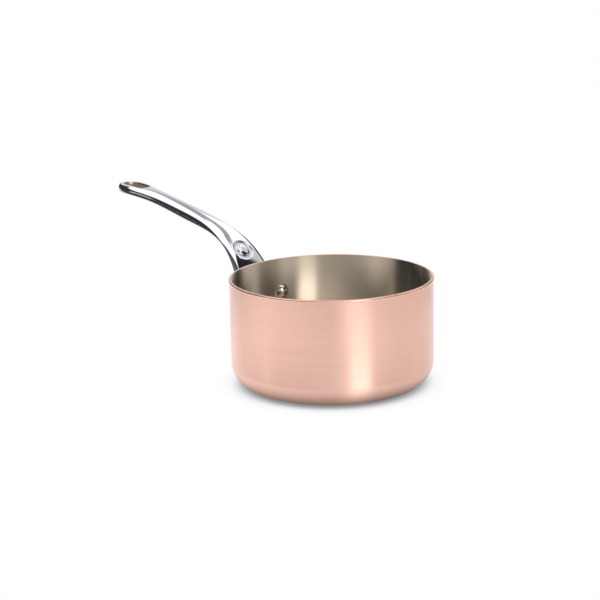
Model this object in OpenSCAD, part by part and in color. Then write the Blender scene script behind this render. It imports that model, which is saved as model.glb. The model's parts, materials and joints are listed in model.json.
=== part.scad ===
// Straight-sided copper saucepan, 16 cm, lined with stainless steel, with a cast steel handle on two rivets.
// The origin is the centre of the base on the surface it stands on. +Z is up and the handle runs along -X.

/* [Pan] */
// Inside diameter of the pan
pan_inner_d = 160; // [120:1:240]
// Height of the pan from the base to the rim
pan_h = 87.5; // [75:0.5:160]
// Thickness of the copper
copper_t = 1.8; // [1:0.1:3]
// Thickness of the steel lining
lining_t = 0.2; // [0.2:0.1:1]
// Outside radius of the corner between wall and base
corner_r = 18.8; // [8:0.1:30]
// How far the rounded edge of the rim stands out from the wall
rim_lip = 0.45; // [0.2:0.05:0.8]

/* [Rivets] */
// Diameter of the shanks, which fill their holes
shank_d = 6; // [4:0.5:8]
// Diameter of the domed heads inside the pan
head_d = 12; // [9:0.5:14]
// Height of the domed heads
head_h = 4.5; // [2:0.1:5]
// Height of the hammered ends outside
tail_h = 2.2; // [1:0.1:4]
// Distance between the two rivets, straight across
rivet_gap = 41; // [36:1:46]
// Depth of the rivets below the rim
rivet_drop = 28.3; // [22:0.1:40]

/* [Handle] */
// Thickness of the plate that is riveted to the wall
plate_t = 4; // [3:0.5:6]
// Height of the plate
plate_h = 23; // [18:1:30]
// Distance from the pan's wall to the tip of the handle
handle_reach = 174; // [140:1:230]
// Height of the tip of the handle above the rim
handle_rise = 49.5; // [35:0.5:80]
// Width of the grip, as a share of the drawn width
grip_width = 1; // [0.8:0.05:1.3]
// Thickness of the grip, as a share of the drawn thickness
grip_thickness = 1; // [0.8:0.05:1.3]
// Length of the hanging hole
hole_l = 27; // [16:1:30]
// Width of the hanging hole
hole_w = 14; // [8:1:16]
// Distance from the tip to the end of the hanging hole
hole_edge = 5; // [4.5:0.5:12]

/* [Button] */
// Diameter of the round recess on top of the neck
recess_d = 19; // [12:0.5:20]
// Depth of the recess
recess_depth = 1.2; // [0.6:0.1:2]
// Diameter of the plain button in the recess
button_d = 11; // [6:0.5:14]
// Distance from the pan's wall to the centre of the recess
recess_reach = 19.5; // [17:0.5:30]

/* [Hidden] */
$fn = 96;

wall_t = copper_t + lining_t;
inner_r = pan_inner_d / 2;
outer_r = inner_r + wall_t;
rim_r = copper_t / 2;
rivet_z = pan_h - rivet_drop;
rivet_angle = asin(rivet_gap / 2 / inner_r);
plate_r = outer_r + plate_t;
plate_end_y = plate_r * sin(rivet_angle);

// Stations of the handle, from inside the pan's wall to the tip. Each gives how far the middle of the top face
// is from the wall and how high it is above the rim, both as shares of the reach and the rise, then the half
// width of the top face, the half width over all and the thickness, in millimetres.
stations = [
  [-0.065,  0.000, 21.0, 25.5, 13.0],
  [ 0.006,  0.000, 18.4, 21.5,  9.5],
  [ 0.057, -0.070, 14.8, 18.2,  6.6],
  [ 0.108,  0.155, 10.9, 16.1,  6.0],
  [ 0.165,  0.331,  9.4, 14.3,  6.4],
  [ 0.234,  0.469,  8.3, 12.5,  8.4],
  [ 0.308,  0.570,  7.1, 11.0, 10.5],
  [ 0.388,  0.648,  5.9, 10.1, 12.0],
  [ 0.474,  0.724,  5.0,  9.7, 12.5],
  [ 0.566,  0.798,  4.6,  9.6, 12.0],
  [ 0.657,  0.866,  4.6,  9.6, 11.4],
  [ 0.743,  0.922,  5.0, 10.2, 11.0],
  [ 0.817,  0.956,  7.0, 11.8, 10.8],
  [ 0.880,  0.978,  9.5, 13.1, 10.6],
  [ 0.937,  0.990,  9.4, 12.9, 10.2],
  [ 0.975,  0.993,  7.6, 10.2,  9.2],
  [ 1.000,  0.992,  3.8,  5.4,  8.0],
  [ 1.000,  0.992,  1.0,  1.6,  5.0]
];
// The arm grows out of the plate, so its first two stations have no height of their own.
// They lie this far below the top edge of the plate.
root_depths = [17.355, 0.525];
steps_per_span = 3;
// How far the top face falls from its middle to its edges
crown = 0.5;
// The shoulders are arcs from the edges of the top face, at this angle, down to the widest place at 90 degrees
shoulder_start = 35;
shoulder_angles = [53.3, 71.7, 90];
// Depth of the widest place, as a share of the thickness
shoulder_share = 0.46;
// The underside is a rounded arc, and a power under 1 makes it a little squarer than an ellipse
under_angles = [25, 48, 68, 90];
under_power = 0.8;

// Half of a cross-section, from the middle of the top face round to the middle of the underside.
// Each point is [sideways, down].
function half_section(a, b, t) = concat(
  [[0, 0], [a / 2, crown / 4], [a, crown]],
  [for (p = shoulder_angles)
    [a + (b - a) * (sin(p) - sin(shoulder_start)) / (1 - sin(shoulder_start)),
     shoulder_share * t - (shoulder_share * t - crown) * cos(p) / cos(shoulder_start)]],
  [for (q = under_angles)
    [b * pow(cos(q), under_power), shoulder_share * t + (1 - shoulder_share) * t * sin(q)]]
);

function mirrored(half) = concat(half, [for (i = [len(half) - 2 : -1 : 1]) [-half[i][0], half[i][1]]]);

function station_point(i) = [
  outer_r + stations[i][0] * handle_reach,
  i < len(root_depths) ? rivet_z + plate_h / 2 - root_depths[i] : pan_h + stations[i][1] * handle_rise
];

function station_slope(i) =
  let (lower = station_point(max(i - 1, 0)), upper = station_point(min(i + 1, len(stations) - 1)))
  atan2(upper[1] - lower[1], upper[0] - lower[0]);

// One ring of points round the handle at a station
function station_ring(i) =
  let (
    p = station_point(i),
    slope = station_slope(i),
    section = mirrored(half_section(stations[i][2] * grip_width, stations[i][3] * grip_width,
                                    stations[i][4] * grip_thickness))
  )
  [for (q = section) [-(p[0] + q[1] * sin(slope)), q[0], p[1] - q[1] * cos(slope)]];

rings = [for (i = [0 : len(stations) - 1]) station_ring(i)];
ring_size = len(rings[0]);

// A uniform cubic spline through the rings, so that the handle is smooth along its length
function spline_weights(u) = [
  pow(1 - u, 3) / 6,
  (3 * pow(u, 3) - 6 * pow(u, 2) + 4) / 6,
  (-3 * pow(u, 3) + 3 * pow(u, 2) + 3 * u + 1) / 6,
  pow(u, 3) / 6
];

function spline_ring(i, u) =
  let (w = spline_weights(u))
  [for (j = [0 : ring_size - 1])
    w[0] * rings[i][j] + w[1] * rings[i + 1][j] + w[2] * rings[i + 2][j] + w[3] * rings[i + 3][j]];

smooth_rings = concat(
  [for (i = [0 : len(rings) - 4]) for (k = [0 : steps_per_span - 1]) spline_ring(i, k / steps_per_span)],
  [spline_ring(len(rings) - 4, 1)]
);

// The pan's profile, a wall and a base joined by a round corner
module pan_profile(r, floor_z, corner) {
  difference() {
    union() {
      translate([0, floor_z]) square([r - corner, pan_h - floor_z]);
      translate([0, floor_z + corner]) square([r, pan_h - floor_z - corner]);
      translate([r - corner, floor_z + corner]) circle(corner);
    }
    translate([-2 * r, floor_z - 1]) square([2 * r, pan_h + 2]);
  }
}

// A radial cylinder through the wall where a rivet goes, side is 1 or -1
module at_rivet(side) {
  rotate([0, 0, 180 + side * rivet_angle]) translate([0, 0, rivet_z]) rotate([0, 90, 0]) children();
}

module rivet_hole(side) {
  at_rivet(side) translate([0, 0, inner_r - head_h]) cylinder(h = head_h + wall_t + plate_t + tail_h, d = shank_d);
}

module copper_shell() {
  color("#E8B49C") difference() {
    union() {
      rotate_extrude() difference() {
        pan_profile(outer_r, 0, corner_r);
        pan_profile(inner_r + lining_t, copper_t, corner_r - copper_t);
      }
      rotate_extrude() translate([outer_r + rim_lip - rim_r, pan_h - rim_r]) circle(rim_r);
    }
    for (side = [-1, 1]) rivet_hole(side);
  }
}

module steel_lining() {
  color("#A89A88") difference() {
    rotate_extrude() difference() {
      pan_profile(inner_r + lining_t, copper_t, corner_r - copper_t);
      pan_profile(inner_r, wall_t, corner_r - wall_t);
    }
    for (side = [-1, 1]) rivet_hole(side);
  }
}

// The arm of the handle, from inside the wall to the tip
module arm() {
  count = len(smooth_rings);
  last = count - 1;
  points = [for (ring = smooth_rings) for (p = ring) p];
  sides = [
    for (i = [0 : count - 2]) for (j = [0 : ring_size - 1])
      let (a = i * ring_size + j, b = i * ring_size + (j + 1) % ring_size)
      each [[a, a + ring_size, b], [b, a + ring_size, b + ring_size]]
  ];
  polyhedron(points, concat(
    sides,
    [[for (j = [0 : ring_size - 1]) j]],
    [[for (j = [ring_size - 1 : -1 : 0]) last * ring_size + j]]
  ));
}

// The plate that hugs the wall, with round ends about the rivets
module plate() {
  intersection() {
    difference() {
      cylinder(h = pan_h, r = plate_r);
      translate([0, 0, -1]) cylinder(h = pan_h + 2, r = outer_r);
    }
    translate([-2 * plate_r, 0, rivet_z]) rotate([90, 0, 90]) linear_extrude(2 * plate_r) union() {
      square([2 * plate_end_y, plate_h], center = true);
      for (side = [-1, 1]) translate([side * plate_end_y, 0]) circle(d = plate_h);
    }
  }
}

// The slot by which the pan hangs, cut straight down through the end of the handle
module hanging_hole() {
  run = (hole_l - hole_w) / 2;
  translate([-(outer_r + handle_reach - hole_edge - hole_l / 2), 0, pan_h]) {
    for (side = [-1, 1]) translate([side * run, 0, 0]) cylinder(h = 2 * handle_rise, d = hole_w);
    translate([-run, -hole_w / 2, 0]) cube([2 * run, hole_w, 2 * handle_rise]);
  }
}

// The line along the middle of the top face, as distances from the wall and heights
function top_points() = [for (ring = smooth_rings) [-ring[0][0] - outer_r, ring[0][2]]];

// Places a child on the top face of the neck, at the recess, square to the face
module on_neck() {
  top = top_points();
  i = max([for (k = [0 : len(top) - 1]) top[k][0] <= recess_reach ? k : 0]);
  share = (recess_reach - top[i][0]) / (top[i + 1][0] - top[i][0]);
  slope = atan2(top[i + 1][1] - top[i][1], top[i + 1][0] - top[i][0]);
  translate([-(outer_r + recess_reach), 0, top[i][1] + share * (top[i + 1][1] - top[i][1])])
    rotate([0, slope, 0]) children();
}

module handle() {
  color("#C9CCD2") difference() {
    union() {
      difference() {
        arm();
        cylinder(h = 2 * pan_h, r = outer_r);
        hanging_hole();
        on_neck() translate([0, 0, -recess_depth]) cylinder(h = 4 * recess_depth, d = recess_d);
      }
      plate();
      on_neck() translate([0, 0, -2 * recess_depth]) cylinder(h = 2 * recess_depth, d = button_d);
    }
    for (side = [-1, 1]) rivet_hole(side);
  }
}

// A rivet with a domed head inside the pan, a shank through wall and plate, and a hammered end outside
module rivet(side) {
  head_r = (pow(head_d / 2, 2) + pow(head_h, 2)) / (2 * head_h);
  tail_r = (pow(head_d / 2, 2) + pow(tail_h, 2)) / (2 * tail_h);
  shank_h = head_h / 2 + wall_t + plate_t + tail_h / 2;
  color("#B9B2A8") {
    at_rivet(side) translate([0, 0, inner_r - head_h / 2]) cylinder(h = shank_h, d = shank_d);
    intersection() {
      at_rivet(side) translate([0, 0, inner_r - head_h + head_r]) sphere(head_r);
      cylinder(h = pan_h, r = inner_r);
    }
    difference() {
      at_rivet(side) translate([0, 0, plate_r + tail_h - tail_r]) sphere(tail_r);
      cylinder(h = pan_h, r = plate_r);
    }
  }
}

module rivet_left() {
  rivet(1);
}

module rivet_right() {
  rivet(-1);
}

copper_shell();
steel_lining();
handle();
rivet_left();
rivet_right();
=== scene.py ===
import json
import math

import bmesh
import bpy
from mathutils import Matrix, Vector
from mathutils.bvhtree import BVHTree

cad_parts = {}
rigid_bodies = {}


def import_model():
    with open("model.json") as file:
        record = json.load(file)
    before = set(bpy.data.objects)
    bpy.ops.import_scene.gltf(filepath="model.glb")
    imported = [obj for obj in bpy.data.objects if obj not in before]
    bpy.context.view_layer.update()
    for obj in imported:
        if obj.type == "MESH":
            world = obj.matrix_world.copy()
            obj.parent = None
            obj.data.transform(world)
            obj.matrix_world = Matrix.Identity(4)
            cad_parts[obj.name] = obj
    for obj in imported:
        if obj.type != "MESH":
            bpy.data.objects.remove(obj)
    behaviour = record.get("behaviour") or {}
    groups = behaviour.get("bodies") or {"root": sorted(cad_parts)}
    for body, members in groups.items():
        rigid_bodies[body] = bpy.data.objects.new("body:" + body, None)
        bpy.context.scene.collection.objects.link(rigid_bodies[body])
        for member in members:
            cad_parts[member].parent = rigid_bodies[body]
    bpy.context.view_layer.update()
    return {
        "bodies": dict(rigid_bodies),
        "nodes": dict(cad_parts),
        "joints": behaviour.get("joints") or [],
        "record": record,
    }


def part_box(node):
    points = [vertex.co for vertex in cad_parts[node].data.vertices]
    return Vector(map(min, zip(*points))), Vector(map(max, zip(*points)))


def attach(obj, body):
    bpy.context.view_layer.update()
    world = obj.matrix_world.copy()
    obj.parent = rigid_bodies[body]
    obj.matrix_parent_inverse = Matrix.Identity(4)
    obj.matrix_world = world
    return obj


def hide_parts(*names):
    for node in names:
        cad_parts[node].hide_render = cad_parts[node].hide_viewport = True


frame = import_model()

# --- Camera ---------------------------------------------------------------------------------------------
# The pan is seen from 15 degrees above the table, with the handle running back to the left.
# There is no lens shift: the camera is turned a little, so that the pan sits right of the middle.
MM = 0.001
shell_low, shell_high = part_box("copper_shell")
pan_h = shell_high[2]
view_azimuth = math.radians(43.5)
view_elevation = math.radians(15.05)
view_distance = 1344 * MM
# How far the camera is turned away from the middle of the pan and rolled, in radians
aim_left = 0.0190
aim_up = 0.0176
tilt = 0.0144

aim = Vector((0, 0, pan_h / 2))
to_camera = Vector((
    math.sin(view_azimuth) * math.cos(view_elevation),
    -math.cos(view_azimuth) * math.cos(view_elevation),
    math.sin(view_elevation),
))
view_right = Vector((math.cos(view_azimuth), math.sin(view_azimuth), 0))
view_up = to_camera.cross(view_right)
look = -to_camera * math.cos(aim_left) * math.cos(aim_up)
look += -view_right * math.sin(aim_left) * math.cos(aim_up)
look += view_up * math.sin(aim_up)
side = look.cross(view_up).normalized()
top = side.cross(look)
turned_side = side * math.cos(tilt) - top * math.sin(tilt)
turned_top = side * math.sin(tilt) + top * math.cos(tilt)

camera = bpy.data.objects.new("camera", bpy.data.cameras.new("camera"))
bpy.context.collection.objects.link(camera)
camera.data.lens = 99.7
camera.data.sensor_width = 36
camera_turn = Matrix((turned_side, turned_top, -look)).transposed().to_4x4()
camera.matrix_world = Matrix.Translation(aim + to_camera * view_distance) @ camera_turn
bpy.context.scene.camera = camera


# --- Copper body ----------------------------------------------------------------------------------------
# The body is drawn from one disc of copper, so wall and base are one piece, and its wall is brushed on a
# lathe. The edge of the rim is rounded over and stands a little proud of the wall.
def hex_colour(text):
    channels = [int(text[i:i + 2], 16) / 255 for i in (1, 3, 5)]
    linear = [c / 12.92 if c <= 0.04045 else ((c + 0.055) / 1.055) ** 2.4 for c in channels]
    return (*linear, 1)


def add_node(tree, kind, settings, links):
    """Adds a node, sets its properties and unlinked sockets, and links its other sockets."""
    node = tree.nodes.new(kind)
    for name, value in settings.items():
        if isinstance(name, str) and hasattr(node, name):
            setattr(node, name, value)
        else:
            node.inputs[name].default_value = value
    for name, source in links.items():
        tree.links.new(source, node.inputs[name])
    return node


def new_material(name):
    material = bpy.data.materials.new(name)
    material.use_nodes = True
    material.node_tree.nodes.clear()
    return material, material.node_tree


def piece_from(bm, name, *materials):
    mesh = bpy.data.meshes.new(name)
    bm.to_mesh(mesh)
    bm.free()
    for material in materials:
        mesh.materials.append(material)
    for polygon in mesh.polygons:
        polygon.use_smooth = True
    piece = bpy.data.objects.new(name, mesh)
    bpy.context.collection.objects.link(piece)
    return piece


def start_profile(points):
    """A chain of edges in the XZ plane, from (radius, height) pairs."""
    bm = bmesh.new()
    corners = [bm.verts.new((radius, 0, height)) for radius, height in points]
    for first, second in zip(corners, corners[1:]):
        bm.edges.new((first, second))
    return bm, corners


def round_corner(bm, corner, radius, segments):
    bmesh.ops.bevel(bm, geom=[corner], offset=radius, segments=segments, profile=0.5,
                    affect="VERTICES", material=-1)


def spin_closed(bm, steps):
    bmesh.ops.spin(bm, geom=bm.verts[:] + bm.edges[:], cent=(0, 0, 0), axis=(0, 0, 1), dvec=(0, 0, 0),
                   angle=2 * math.pi, steps=steps, use_merge=True)
    bmesh.ops.remove_doubles(bm, verts=bm.verts, dist=0.001 * MM)
    bmesh.ops.recalc_face_normals(bm, faces=bm.faces)


lining_low, lining_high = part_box("steel_lining")
rim_lip = 0.45 * MM
copper_t = 1.8 * MM
lining_t = 0.2 * MM
rim_r = copper_t / 2
corner_r = 18.8 * MM
outer_r = shell_high[0] - rim_lip
lining_outer_r = lining_high[0]
inner_r = lining_outer_r - lining_t
turns = 256

# The bead at the rim is an arc from where it leaves the wall, up and over to its top.
bead_x = outer_r + rim_lip - rim_r
bead_z = pan_h - rim_r
bead_start = -math.acos((rim_r - rim_lip) / rim_r)
bead_steps = 12
bead = []
for step in range(bead_steps + 1):
    angle = bead_start + (math.pi / 2 - bead_start) * step / bead_steps
    bead.append((bead_x + rim_r * math.cos(angle), bead_z + rim_r * math.sin(angle)))

body_bm, body_corners = start_profile([
    (0, 0),
    (outer_r, 0),
    *bead,
    (lining_outer_r, pan_h),
    (lining_outer_r, copper_t),
    (0, copper_t),
])
round_corner(body_bm, body_corners[1], corner_r, 24)
round_corner(body_bm, body_corners[-2], corner_r - copper_t, 24)
spin_closed(body_bm, turns)


def brushed_metal(name, colour, dark_colour, roughness, line_width, line_depth):
    """Metal brushed on a lathe: fine lines run round the axis, so its highlights are drawn out up and down."""
    material, tree = new_material(name)
    place = add_node(tree, "ShaderNodeTexCoord", {}, {}).outputs["Object"]
    axes = add_node(tree, "ShaderNodeSeparateXYZ", {}, {0: place}).outputs
    flat = add_node(tree, "ShaderNodeCombineXYZ", {}, {0: axes[0], 1: axes[1]}).outputs[0]
    radius = add_node(tree, "ShaderNodeVectorMath", {"operation": "LENGTH"}, {0: flat}).outputs["Value"]
    # Height on the wall and radius on the base both count the lines, so they run on round the corner.
    across = add_node(tree, "ShaderNodeMath", {"operation": "ADD"}, {0: axes[2], 1: radius}).outputs[0]
    lines = []
    for width, length in ((line_width, 90 * MM), (3 * line_width, 200 * MM)):
        slow = add_node(tree, "ShaderNodeVectorMath", {"operation": "DIVIDE", 1: (length,) * 3}, {0: flat})
        fast = add_node(tree, "ShaderNodeMath", {"operation": "DIVIDE", 1: width}, {0: across})
        fast_up = add_node(tree, "ShaderNodeCombineXYZ", {}, {2: fast.outputs[0]})
        streak = add_node(tree, "ShaderNodeVectorMath", {"operation": "ADD"},
                          {0: slow.outputs[0], 1: fast_up.outputs[0]})
        lines.append(add_node(tree, "ShaderNodeTexNoise", {"Scale": 1.0, "Detail": 2.0},
                              {"Vector": streak.outputs[0]}).outputs[0])
    both = add_node(tree, "ShaderNodeMath", {"operation": "ADD"}, {0: lines[0], 1: lines[1]}).outputs[0]
    tone = add_node(tree, "ShaderNodeMapRange", {"From Min": 0.75, "From Max": 1.25}, {"Value": both}).outputs[0]
    tint = add_node(tree, "ShaderNodeMix", {"data_type": "RGBA", 6: dark_colour, 7: colour}, {0: tone})
    rough = add_node(tree, "ShaderNodeMapRange", {"To Min": roughness * 1.03, "To Max": roughness * 0.97},
                     {"Value": tone})
    bump = add_node(tree, "ShaderNodeBump", {"Strength": 1.0, "Distance": line_depth}, {"Height": both})
    tangent = add_node(tree, "ShaderNodeTangent", {"direction_type": "RADIAL", "axis": "Z"}, {})
    shader = add_node(tree, "ShaderNodeBsdfPrincipled", {
        "Metallic": 1.0, "Anisotropic": 1.0, "Anisotropic Rotation": 0.25,
    }, {
        "Base Color": tint.outputs[2], "Roughness": rough.outputs[0],
        "Normal": bump.outputs[0], "Tangent": tangent.outputs[0],
    })
    add_node(tree, "ShaderNodeOutputMaterial", {}, {"Surface": shader.outputs[0]})
    return material


# Brushed copper, pale pink where it is clean. Real brush lines are about 0.05 mm apart, too fine to show, so
# they are drawn ten times as coarse.
copper_finish = brushed_metal("brushed_copper", hex_colour("#FACBB9"), hex_colour("#F8C8B6"), 0.30,
                              0.5 * MM, 0.0005 * MM)
# Copper buffed on a wheel, a little deeper in colour and glossy enough for a thin bright line.
rim_finish, rim_tree = new_material("polished_copper")
rim_shader = add_node(rim_tree, "ShaderNodeBsdfPrincipled", {
    "Base Color": hex_colour("#F6BFAE"), "Metallic": 1.0, "Roughness": 0.2,
}, {})
add_node(rim_tree, "ShaderNodeOutputMaterial", {}, {"Surface": rim_shader.outputs[0]})
for face in body_bm.faces:
    # The bead is buffed bright, the wall below it keeps its brushed lines.
    face.material_index = int(face.calc_center_median().z > bead_z + rim_r * math.sin(bead_start))
copper_body = piece_from(body_bm, "copper_body", copper_finish, rim_finish)
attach(copper_body, "root")
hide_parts("copper_shell")

# --- Steel lining ---------------------------------------------------------------------------------------
# A skin of stainless steel a fifth of a millimetre thick, bonded to the copper. It is brushed like the wall.
lining_bm, lining_corners = start_profile([
    (0, copper_t),
    (lining_outer_r, copper_t),
    (lining_outer_r, pan_h),
    (inner_r, pan_h),
    (inner_r, copper_t + lining_t),
    (0, copper_t + lining_t),
])
round_corner(lining_bm, lining_corners[1], corner_r - copper_t, 24)
round_corner(lining_bm, lining_corners[4], corner_r - copper_t - lining_t, 24)
spin_closed(lining_bm, turns)
# Brushed stainless steel, warm beside the copper. Its lines are drawn ten times as coarse too, but shallower.
lining_finish = brushed_metal("brushed_stainless_steel", hex_colour("#DBCAB4"), hex_colour("#D8C7B1"), 0.30,
                              0.5 * MM, 0.0003 * MM)
lining = piece_from(lining_bm, "lining", lining_finish)
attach(lining, "root")
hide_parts("steel_lining")

# --- Handle ---------------------------------------------------------------------------------------------
# One casting of stainless steel, ground and then polished to a mirror. It flares at the wall into a plate
# that takes both rivets, and it ends in a broad loop with a slot to hang the pan by.
reach = 174 * MM
rise = 49.5 * MM
# Stations from the wall to the tip: how far the middle of the top face is from the wall and how high it is
# above the rim, as shares of the reach and rise, then the half width of the top face, the half width over
# all and the thickness, in millimetres.
stations = [
    (0.006, -0.350, 18.4, 21.5, 9.5),
    (0.057, -0.070, 14.8, 18.2, 6.6),
    (0.108, 0.155, 10.9, 16.1, 6.0),
    (0.165, 0.331, 9.4, 14.3, 6.4),
    (0.234, 0.469, 8.3, 12.5, 8.4),
    (0.308, 0.570, 7.1, 11.0, 10.5),
    (0.388, 0.648, 5.9, 10.1, 12.0),
    (0.474, 0.724, 5.0, 9.7, 12.5),
    (0.566, 0.798, 4.6, 9.6, 12.0),
    (0.657, 0.866, 4.6, 9.6, 11.4),
    (0.743, 0.922, 5.0, 10.2, 11.0),
    (0.817, 0.956, 7.0, 11.8, 10.8),
    (0.880, 0.978, 9.5, 13.1, 10.6),
    (0.937, 0.990, 9.4, 12.9, 10.2),
    (0.975, 0.993, 7.6, 10.2, 9.2),
    (1.000, 0.992, 3.8, 5.4, 8.0),
    (1.000, 0.992, 1.0, 1.6, 5.0),
]
crown = 0.5
shoulder_start = math.radians(35)
shoulder_angles = [48.75, 62.5, 76.25, 90]
shoulder_share = 0.46
under_angles = [16, 32, 47, 62.4, 72, 81, 90]
under_power = 0.8
top_steps = 4
rings_per_span = 4


def half_section(a, b, t):
    """Half a cross-section in millimetres, sideways and down, from the top face to the underside."""
    points = [(a * i / top_steps, crown * (i / top_steps) ** 2) for i in range(top_steps + 1)]
    start = math.sin(shoulder_start)
    for angle in shoulder_angles:
        turn = math.radians(angle)
        drop = (shoulder_share * t - crown) * math.cos(turn) / math.cos(shoulder_start)
        points.append((a + (b - a) * (math.sin(turn) - start) / (1 - start), shoulder_share * t - drop))
    for angle in under_angles:
        turn = math.radians(angle)
        points.append((b * max(math.cos(turn), 0) ** under_power,
                       shoulder_share * t + (1 - shoulder_share) * t * math.sin(turn)))
    return points


def station_ring(i):
    """The ring of points round the handle at a station, square to the line of the top face."""
    middles = [Vector((outer_r + s[0] * reach, pan_h + s[1] * rise)) for s in stations]
    way = (middles[min(i + 1, len(stations) - 1)] - middles[max(i - 1, 0)]).normalized()
    half = half_section(*stations[i][2:])
    section = half + [(-across, down) for across, down in reversed(half[1:-1])]
    return [
        Vector((-(middles[i].x + down * MM * way.y), across * MM, middles[i].y - down * MM * way.x))
        for across, down in section
    ]


def stadium_point(share, run, radius):
    """A point on an outline of two half circles joined by straight sides, from the middle of one end."""
    side = 2 * run
    end = math.pi * radius
    walked = (share % 1) * 2 * (side + end)
    if walked > side + 1.5 * end:
        walked -= 2 * (side + end)
    if abs(walked) <= end / 2:
        angle = walked / radius
        return (run + radius * math.cos(angle), radius * math.sin(angle))
    if walked > end / 2 + side:
        angle = math.pi + (walked - side - end) / radius
        return (-run + radius * math.cos(angle), radius * math.sin(angle))
    return (run - abs(walked) + end / 2, math.copysign(radius, walked))


control_rings = [station_ring(i) for i in range(len(stations))]
ring_size = len(control_rings[0])
neck_rings = []
for i in range(len(control_rings) - 3):
    for k in range(rings_per_span + (i == len(control_rings) - 4)):
        u = k / rings_per_span
        weights = ((1 - u) ** 3, 3 * u ** 3 - 6 * u ** 2 + 4, -3 * u ** 3 + 3 * u ** 2 + 3 * u + 1, u ** 3)
        near = control_rings[i:i + 4]
        neck_rings.append([
            sum((near[m][j] * weights[m] / 6 for m in range(4)), Vector((0, 0, 0))) for j in range(ring_size)
        ])

# The plate's outline is wrapped round the wall. Its rings start on the wall, behind the plate.
rivet_gap = 41 * MM
rivet_z = pan_h - 28.3 * MM
rivet_angle = math.asin(rivet_gap / 2 / inner_r)
plate_t = 4 * MM
plate_h = 23 * MM
plate_r = outer_r + plate_t


def plate_ring(radius, inset, scale=1):
    ring = []
    for j in range(ring_size):
        across, up = stadium_point(0.25 - j / ring_size, plate_r * rivet_angle, plate_h / 2 - inset)
        angle = across * scale / plate_r
        ring.append(Vector((-radius * math.cos(angle), radius * math.sin(angle), rivet_z + up * scale)))
    return ring


wall_gap = 0.05 * MM
edge_round = 1.2 * MM
edge_ring = plate_ring(plate_r, edge_round)
back_rings = [plate_ring(outer_r + wall_gap, 0, scale) for scale in (0, 0.5, 0.96)]
edge_rings = [plate_ring(outer_r + edge_round / 2, 0), plate_ring(plate_r - edge_round, 0), edge_ring]

plate_middle = Vector((-plate_r, 0, rivet_z))
flare_steps = 7
# The flare runs on in the line of the neck for this long, and leaves the plate towards its middle by this share.
neck_run = 8 * MM
pull_in = 0.65
flare_rings = []
for step in range(1, flare_steps):
    t = step / flare_steps
    ring = []
    for j in range(ring_size):
        neck_point, next_point = neck_rings[0][j], neck_rings[1][j]
        low = (1 - (edge_ring[j].z - rivet_z) / (plate_h / 2)) / 2
        leave = neck_point + (neck_point - next_point).normalized() * neck_run
        arrive = edge_ring[j].lerp(plate_middle, pull_in * min(1, 1.6 * low))
        ring.append(edge_ring[j] * (1 - t) ** 3 + arrive * 3 * (1 - t) ** 2 * t
                    + leave * 3 * (1 - t) * t ** 2 + neck_point * t ** 3)
    flare_rings.append(ring)


# The tip is rounded off inside the length of the last ring.
last_ring = neck_rings.pop()
last_middle = sum(last_ring, Vector((0, 0, 0))) / ring_size
before_middle = sum(neck_rings[-1], Vector((0, 0, 0))) / ring_size
tip_rings = []
for scale, along in ((0.88, 0.55), (0.62, 0.86), (0.3, 0.97), (0, 1)):
    middle = before_middle.lerp(last_middle, along)
    tip_rings.append([middle + (p - last_middle) * scale for p in last_ring])

handle_rings = back_rings + edge_rings + flare_rings + neck_rings + tip_rings
handle_bm = bmesh.new()
bmesh.ops.create_grid(handle_bm, x_segments=ring_size, y_segments=len(handle_rings) - 1)
column = handle_bm.verts.layers.int.new("column")
for index, vert in enumerate(handle_bm.verts):
    row, place = divmod(index, ring_size + 1)
    place %= ring_size
    vert.co = handle_rings[row][place]
    vert[column] = min(place, ring_size - place)
bmesh.ops.remove_doubles(handle_bm, verts=handle_bm.verts, dist=0.001 * MM)
bmesh.ops.recalc_face_normals(handle_bm, faces=handle_bm.faces)


def open_patch(bm, frame, columns, half_length, outline):
    """Takes a patch out of the grid and moves the edge of the gap onto an outline, on the same surface."""
    surface = BVHTree.FromBMesh(bm)
    to_local = frame.inverted()
    above = 30 * MM

    def drop(vert):
        local = to_local @ vert.co
        hit = surface.ray_cast(frame @ Vector((local.x, local.y, above)), -frame.col[2].to_3d())[0]
        vert.co = hit or vert.co

    patch = [
        face for face in bm.faces
        if all(vert[column] in columns for vert in face.verts)
        and abs((to_local @ face.calc_center_median()).x) < half_length
        and face.normal.dot(frame.col[2].to_3d()) > 0
    ]
    inside = set(patch)
    rim = [edge for edge in {e for f in patch for e in f.edges} if len(inside & set(edge.link_faces)) == 1]
    bmesh.ops.delete(bm, geom=patch, context="FACES")
    around = sorted({vert for edge in rim for vert in edge.verts},
                    key=lambda vert: math.atan2((to_local @ vert.co).y, (to_local @ vert.co).x))
    first = min(range(len(around)), key=lambda k: abs(math.atan2((to_local @ around[k].co).y,
                                                                 (to_local @ around[k].co).x)))
    for k in range(len(around)):
        vert = around[(first + k) % len(around)]
        x, y = outline(k / len(around))
        vert.co = frame @ Vector((x, y, 0))
        drop(vert)
    reach_out = half_length + 10 * MM
    nearby = [
        vert for vert in bm.verts
        if vert[column] in columns and vert not in around and abs((to_local @ vert.co).x) < reach_out
        and abs((to_local @ vert.co).z) < 5 * MM
    ]
    for _ in range(10):
        bmesh.ops.smooth_vert(bm, verts=nearby, factor=0.5, use_axis_x=True, use_axis_y=True, use_axis_z=True)
        for vert in nearby:
            drop(vert)
    return rim


crease = handle_bm.edges.layers.float.new("crease_edge")
for edge in handle_bm.edges:
    ends = [vert[column] for vert in edge.verts]
    if ends == [top_steps, top_steps]:
        beyond = min(-vert.co.x for vert in edge.verts) - plate_r
        edge[crease] = min(0.5, max(0, beyond / (12 * MM)) * 0.5)

# The hanging slot goes straight through, so both faces are opened and joined by its wall.
hole_l = 27 * MM
hole_w = 14 * MM
hole_edge = 5 * MM
slot_x = -(outer_r + reach - hole_edge - hole_l / 2)
slot_run = (hole_l - hole_w) / 2


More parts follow.
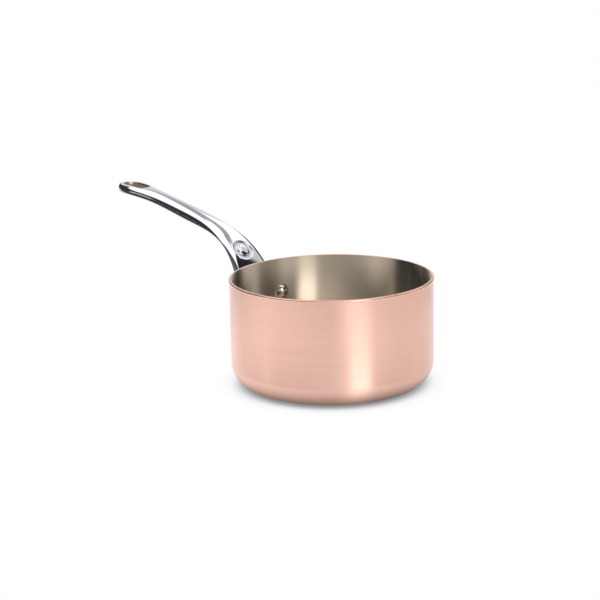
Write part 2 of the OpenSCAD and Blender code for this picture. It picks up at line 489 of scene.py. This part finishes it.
def slot_outline(share):
    return stadium_point(share, slot_run, hole_w / 2)


top_columns = range(0, top_steps)
under_columns = range(ring_size // 2 - top_steps + 1, ring_size // 2 + 1)
slot_top = Matrix.Translation((slot_x, 0, pan_h + rise))
slot_under = slot_top @ Matrix.Rotation(math.pi, 4, "X")
upper_rim = open_patch(handle_bm, slot_top, top_columns, hole_l / 2 - 1 * MM, slot_outline)
lower_rim = open_patch(handle_bm, slot_under, under_columns, hole_l / 2 - 1 * MM, slot_outline)
for edge in upper_rim + lower_rim:
    edge[crease] = 0.5
slot_wall = bmesh.ops.bridge_loops(handle_bm, edges=upper_rim + lower_rim)["faces"]
for face in slot_wall:
    face.material_index = 1

# The recess on the neck holds a plain domed button.
recess_r = 19 / 2 * MM
recess_depth = 1.2 * MM
button_r = 11 / 2 * MM
recess_x = -(outer_r + 19.5 * MM)
middle_line = [ring[0] for ring in neck_rings]
above_recess = next(k for k, point in enumerate(middle_line) if point.x < recess_x)
low_point, high_point = middle_line[above_recess - 1], middle_line[above_recess]
recess_centre = low_point.lerp(high_point, (recess_x - low_point.x) / (high_point.x - low_point.x))
along_neck = (high_point - low_point).normalized()
off_neck = Vector((0, 1, 0)).cross(along_neck)
if off_neck.z < 0:
    off_neck.negate()
recess_frame = Matrix((along_neck, off_neck.cross(along_neck), off_neck)).transposed().to_4x4()
recess_frame.translation = recess_centre


def recess_outline(share):
    return stadium_point(share, 0, recess_r)


recess_rim = open_patch(handle_bm, recess_frame, top_columns, recess_r * 0.86, recess_outline)
for edge in recess_rim:
    edge[crease] = 0.5
loop = recess_rim
to_recess = recess_frame.inverted()
button_steps = [
    # radius, height above the face of the neck, crease of the edge, all round
    (recess_r - 0.35 * MM, -recess_depth, 0.35),
    (button_r + 0.25 * MM, -recess_depth, 0.35),
    (button_r, -0.35 * MM, 0.3),
    (button_r - 0.8 * MM, 0.05 * MM, 0),
    (button_r * 0.55, 0.3 * MM, 0),
    (button_r * 0.25, 0.38 * MM, 0),
    (0, 0.4 * MM, 0),
]
for radius, height, sharp in button_steps:
    made = bmesh.ops.extrude_edge_only(handle_bm, edges=loop)["geom"]
    loop = [item for item in made if isinstance(item, bmesh.types.BMEdge)]
    loop = [edge for edge in loop if edge.is_boundary]
    corners = {vert for edge in loop for vert in edge.verts}
    for vert in corners:
        local = to_recess @ vert.co
        flat_way = Vector((local.x, local.y, 0)).normalized()
        vert.co = recess_frame @ (flat_way * radius + Vector((0, 0, height)))
    for edge in loop:
        edge[crease] = sharp
bmesh.ops.remove_doubles(handle_bm, verts=handle_bm.verts, dist=0.001 * MM)
bmesh.ops.recalc_face_normals(handle_bm, faces=handle_bm.faces)

# Polished stainless steel, a mirror with a faint haze in patches 9 mm across from the polishing wheel.
polished_steel, steel_tree = new_material("polished_stainless_steel")
steel_place = add_node(steel_tree, "ShaderNodeTexCoord", {}, {}).outputs["Object"]
haze = add_node(steel_tree, "ShaderNodeTexNoise", {"Scale": 1 / (9 * MM), "Detail": 4.0},
                {"Vector": steel_place})
scuff = add_node(steel_tree, "ShaderNodeMapRange", {
    "From Min": 0.4, "From Max": 0.75, "To Min": 0.05, "To Max": 0.09,
}, {"Value": haze.outputs[0]})
steel_shader = add_node(steel_tree, "ShaderNodeBsdfPrincipled", {
    "Base Color": hex_colour("#DCDDE2"), "Metallic": 1.0,
}, {"Roughness": scuff.outputs[0]})
add_node(steel_tree, "ShaderNodeOutputMaterial", {}, {"Surface": steel_shader.outputs[0]})

# Satin stainless steel: the wall of the slot is only rubbed smooth, so it is duller and warmer than the rest.
satin_steel, satin_tree = new_material("satin_stainless_steel")
satin_shader = add_node(satin_tree, "ShaderNodeBsdfPrincipled", {
    "Base Color": hex_colour("#CBBDB1"), "Metallic": 1.0, "Roughness": 0.35,
}, {})
add_node(satin_tree, "ShaderNodeOutputMaterial", {}, {"Surface": satin_shader.outputs[0]})

handle = piece_from(handle_bm, "cast_handle", polished_steel, satin_steel)
rounding = handle.modifiers.new("rounding", "SUBSURF")
rounding.levels = 2
rounding.render_levels = 2
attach(handle, "root")
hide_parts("handle")

# --- Rivets ---------------------------------------------------------------------------------------------
# Two stainless steel rivets hold the handle. Each has a domed head inside the pan, a shank that fills its
# hole through wall and plate, and a flatter end outside that was hammered over.
# The domes reach this far into the wall and the plate, so that no gap shows under them.
shank_r = 3 * MM
head_r = 6 * MM
head_h = 4.5 * MM
tail_h = 2.2 * MM
seat = 0.4 * MM
dome_steps = 10


def dome(radius, height, base, way):
    """Points of a dome's profile, from its rim to its top."""
    ball = (radius ** 2 + height ** 2) / (2 * height)
    span = math.asin(radius / ball) if height <= radius else math.pi - math.asin(radius / ball)
    return [
        (ball * math.sin(span * (1 - k / dome_steps)),
         base + way * (ball * math.cos(span * (1 - k / dome_steps)) - ball + height))
        for k in range(dome_steps + 1)
    ]


# Tumbled stainless steel, bright with soft dimples 2 mm across.
rivet_finish, rivet_tree = new_material("tumbled_stainless_steel")
rivet_place = add_node(rivet_tree, "ShaderNodeTexCoord", {}, {}).outputs["Object"]
dimples = add_node(rivet_tree, "ShaderNodeTexNoise", {"Scale": 1 / (2 * MM), "Detail": 3.0},
                   {"Vector": rivet_place})
rivet_rough = add_node(rivet_tree, "ShaderNodeMapRange", {"To Min": 0.12, "To Max": 0.26},
                       {"Value": dimples.outputs[0]})
rivet_bump = add_node(rivet_tree, "ShaderNodeBump", {"Strength": 0.6, "Distance": 0.05 * MM},
                      {"Height": dimples.outputs[0]})
rivet_shader = add_node(rivet_tree, "ShaderNodeBsdfPrincipled", {
    "Base Color": hex_colour("#D8D4CE"), "Metallic": 1.0,
}, {"Roughness": rivet_rough.outputs[0], "Normal": rivet_bump.outputs[0]})
add_node(rivet_tree, "ShaderNodeOutputMaterial", {}, {"Surface": rivet_shader.outputs[0]})

for name, side in (("rivet_left", 1), ("rivet_right", -1)):
    head = dome(head_r, head_h, inner_r, -1)
    tail = dome(head_r, tail_h, plate_r, 1)
    profile = [*reversed(head), (head_r, inner_r + seat), (shank_r, inner_r + seat),
               (shank_r, plate_r - seat), (head_r, plate_r - seat), *tail]
    rivet_bm, _ = start_profile(profile)
    spin_closed(rivet_bm, 48)
    rivet_turn = Matrix.Rotation(math.pi + side * rivet_angle, 4, "Z") @ Matrix.Rotation(math.pi / 2, 4, "Y")
    rivet_frame = Matrix.Translation((0, 0, rivet_z)) @ rivet_turn
    bmesh.ops.transform(rivet_bm, matrix=rivet_frame, verts=rivet_bm.verts)
    rivet = piece_from(rivet_bm, name + "_domed", rivet_finish)
    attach(rivet, "root")
    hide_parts(name)

# --- Floor and light ------------------------------------------------------------------------------------
# A white table in a soft white studio. A broad softbox hangs overhead, a tall strip light stands in front to
# the right, and dark panels left and right give the metal its contrast. None of it is part of the pan.
def calculate(tree, operation, *terms):
    values = {n: term for n, term in enumerate(terms) if isinstance(term, (int, float))}
    sockets = {n: term for n, term in enumerate(terms) if n not in values}
    node = add_node(tree, "ShaderNodeMath", {"operation": operation, **values}, sockets)
    return node.outputs[0]


def seen_from_camera(tree, place):
    """Turns a place or a direction so that X is to the right, Y away from the camera and Z up."""
    turned = add_node(tree, "ShaderNodeMapping", {"vector_type": "POINT", "Rotation": (0, 0, -view_azimuth)},
                      {"Vector": place})
    return turned.outputs[0]


def ring_level(tree, facing, levels):
    """A level that changes all round, from pairs of degrees to the right of the camera and level."""
    parts = add_node(tree, "ShaderNodeSeparateXYZ", {}, {0: facing})
    towards_camera = calculate(tree, "MULTIPLY", parts.outputs[1], -1)
    around = calculate(tree, "ARCTAN2", parts.outputs[0], towards_camera)
    share = calculate(tree, "ADD", calculate(tree, "DIVIDE", around, 2 * math.pi), 0.5)
    ramp = add_node(tree, "ShaderNodeValToRGB", {}, {0: share})
    stops = ramp.color_ramp.elements
    while len(stops) < len(levels):
        stops.new(0.5)
    brightest = max(level for _, level in levels)
    for stop, (degrees, level) in zip(stops, levels):
        stop.position = degrees / 360 + 0.5
        stop.color = (level / brightest,) * 3 + (1,)
    return calculate(tree, "MULTIPLY", ramp.outputs[0], brightest)


# A black panel lies on the table past its left end, where only the handle is far enough out to see it. This is
# how black it is, by degrees to the right of the direction to the camera, round the middle of the handle.
panel_ring = [(-180, 0.35), (-122, 0.4), (-114, 0.95), (-74, 0.95), (-70, 0), (180, 0)]
panel_edge = -290 * MM
handle_middle = (-(outer_r + reach / 2), 0, 0)

floor_bm = bmesh.new()
bmesh.ops.create_circle(floor_bm, cap_ends=True, segments=64, radius=6)
floor_material, floor_tree = new_material("white_table")
floor_place = add_node(floor_tree, "ShaderNodeTexCoord", {}, {}).outputs["Object"]
floor_across = add_node(floor_tree, "ShaderNodeSeparateXYZ", {}, {0: seen_from_camera(floor_tree, floor_place)})
far_left = add_node(floor_tree, "ShaderNodeMapRange", {
    "From Min": panel_edge + 10 * MM, "From Max": panel_edge - 10 * MM,
}, {"Value": floor_across.outputs[0]})
from_handle = add_node(floor_tree, "ShaderNodeVectorMath", {"operation": "SUBTRACT", 1: handle_middle},
                       {0: floor_place})
panel = ring_level(floor_tree, seen_from_camera(floor_tree, from_handle.outputs[0]), panel_ring)
panel = calculate(floor_tree, "MULTIPLY", panel, far_left.outputs[0])
# The table is painted darker close to the pan, a painted shade where little light gets in. The metal sees
# through the table to the light below the horizon, dimmed by painted shade under the pan, and none where the
# panel lies.
distance = add_node(floor_tree, "ShaderNodeVectorMath", {"operation": "LENGTH"}, {0: floor_place})
painted_shade_beside_pan = add_node(floor_tree, "ShaderNodeMapRange", {
    "interpolation_type": "SMOOTHSTEP", "From Min": outer_r - 18 * MM, "From Max": outer_r + 21 * MM,
    "To Min": 0.1, "To Max": 1.0,
}, {"Value": distance.outputs["Value"]}).outputs[0]
clear = calculate(floor_tree, "MULTIPLY", painted_shade_beside_pan, calculate(floor_tree, "SUBTRACT", 1, panel))
# The camera sees the table as a glow, white except for a painted shadow where the pan closes off the air above
# it.
open_air = add_node(floor_tree, "ShaderNodeAmbientOcclusion", {"samples": 32, "Distance": 90 * MM}, {})
painted_shadow = add_node(floor_tree, "ShaderNodeMapRange", {
    "interpolation_type": "SMOOTHSTEP", "From Min": 0.0, "From Max": 0.7, "To Min": 0.25, "To Max": 1.0,
}, {"Value": open_air.outputs["AO"]}).outputs[0]
in_view = add_node(floor_tree, "ShaderNodeEmission", {}, {"Color": painted_shadow})
black = add_node(floor_tree, "ShaderNodeBsdfDiffuse", {"Color": (0, 0, 0, 1)}, {})
opening = add_node(floor_tree, "ShaderNodeBsdfTransparent", {}, {})
in_metal = add_node(floor_tree, "ShaderNodeMixShader", {}, {
    0: clear, 1: black.outputs[0], 2: opening.outputs[0],
})
floor_rays = add_node(floor_tree, "ShaderNodeLightPath", {}, {})
floor_shader = add_node(floor_tree, "ShaderNodeMixShader", {}, {
    0: floor_rays.outputs["Is Camera Ray"], 1: in_metal.outputs[0], 2: in_view.outputs[0],
})
add_node(floor_tree, "ShaderNodeOutputMaterial", {}, {"Surface": floor_shader.outputs[0]})
floor = piece_from(floor_bm, "floor", floor_material)

# How bright the studio is all round, by degrees to the right of the direction to the camera: the white table
# below the horizon, then the ring near the horizon, then the ring above it, up to the softbox
table_white = 0.69
table_ring = [
    (-180, 1.75), (-150, 1.72), (-123, 1.70), (-100, 1.68), (-70, 1.57), (-41, 1.50), (-20, 1.40),
    (0, 1.32), (10, 1.40), (18, 1.55), (24, 1.90), (43, 2.05), (46, 1.75), (55, 1.60), (72, 1.52),
    (100, 1.42), (123, 1.38), (143, 1.45), (163, 1.60), (180, 1.65),
]
low_ring = [
    (-180, 0.85), (-165, 0.70), (-152, 0.05), (-83, 0.04), (-81, 0.55), (-75, 0.55), (-73, 0.05),
    (-62, 0.02), (-50, 0.10), (-39, 0.15), (-25, 0.30), (-10, 0.65), (0, 0.85), (12, 1.00), (18, 1.10),
    (21.5, 2.80), (41, 2.80), (44, 0.25), (54, 0.12), (66, 0.02), (98, 0.01), (101, 0.30), (109, 0.30),
    (112, 0.01), (152, 0.02), (165, 0.70), (180, 0.85),
]
high_ring = [
    (-180, 0.45), (-176, 0.50), (-173, 1.40), (-152, 1.40), (-146, 0.06), (-80, 0.05), (-70, 0.06),
    (-45, 0.12), (-15, 0.45), (0, 0.70), (18, 0.85), (21.5, 2.60), (41, 2.60), (44, 0.30), (60, 0.03),
    (106, 0.03), (111, 0.75), (128, 0.75), (134, 1.40), (175, 1.40), (178, 0.45), (180, 0.45),
]
softbox_level = 1.45
front_level = 0.12
seam_level = 0.45
seam_way = (0.751, 0.379, -0.540)

world = bpy.data.worlds.new("studio")
bpy.context.scene.world = world
world.use_nodes = True
sky = world.node_tree
sky.nodes.clear()
facing = seen_from_camera(sky, add_node(sky, "ShaderNodeTexCoord", {}, {}).outputs["Generated"])
_, away, up = add_node(sky, "ShaderNodeSeparateXYZ", {}, {0: facing}).outputs


def fade(source, start, end, from_level, to_level):
    settings = {"interpolation_type": "SMOOTHSTEP", "From Min": start, "From Max": end,
                "To Min": from_level, "To Max": to_level}
    return add_node(sky, "ShaderNodeMapRange", settings, {"Value": source}).outputs[0]


def blend(share, first, second):
    levels = {2: first, 3: second}
    values = {n: level for n, level in levels.items() if isinstance(level, (int, float))}
    sockets = {n: level for n, level in levels.items() if n not in values}
    return add_node(sky, "ShaderNodeMix", {"data_type": "FLOAT", **values}, {0: share, **sockets}).outputs[0]


level = blend(fade(up, 0.42, 0.50, 0, 1), ring_level(sky, facing, low_ring), ring_level(sky, facing, high_ring))
softbox = fade(away, -0.26, -0.18, front_level, softbox_level)
level = blend(fade(up, 0.74, 0.79, 0, 1), level, softbox)
# A grey seam runs between the softbox overhead and the one behind, from straight back round to the right.
seam = add_node(sky, "ShaderNodeVectorMath", {"operation": "DOT_PRODUCT", 1: seam_way}, {0: facing})
off_seam = calculate(sky, "ABSOLUTE", seam.outputs["Value"])
on_seam = calculate(sky, "MULTIPLY", fade(off_seam, 0.03, 0.05, 1, 0), fade(away, 0.1, 0.2, 0, 1))
on_seam = calculate(sky, "MULTIPLY", on_seam, fade(up, 0.45, 0.5, 0, 1))
level = blend(on_seam, level, seam_level)
table = calculate(sky, "MULTIPLY", ring_level(sky, facing, table_ring), table_white)
level = blend(fade(up, -0.01, 0.0, 0, 1), table, level)
# The dark panels are a little blue.
tint = add_node(sky, "ShaderNodeMix", {"data_type": "RGBA", 6: (0.7, 0.88, 1, 1), 7: (1, 1, 1, 1)},
                {0: calculate(sky, "MULTIPLY", level, 2)})
studio = add_node(sky, "ShaderNodeBackground", {}, {"Color": tint.outputs[2], "Strength": level})
# The camera sees plain white behind the pan.
plain = add_node(sky, "ShaderNodeBackground", {"Color": (1, 1, 1, 1), "Strength": 1.0}, {})
rays = add_node(sky, "ShaderNodeLightPath", {}, {})
seen = add_node(sky, "ShaderNodeMixShader", {}, {
    0: rays.outputs["Is Camera Ray"], 1: studio.outputs[0], 2: plain.outputs[0],
})
add_node(sky, "ShaderNodeOutputWorld", {}, {"Surface": seen.outputs[0]})

bpy.context.scene.view_settings.view_transform = "Standard"
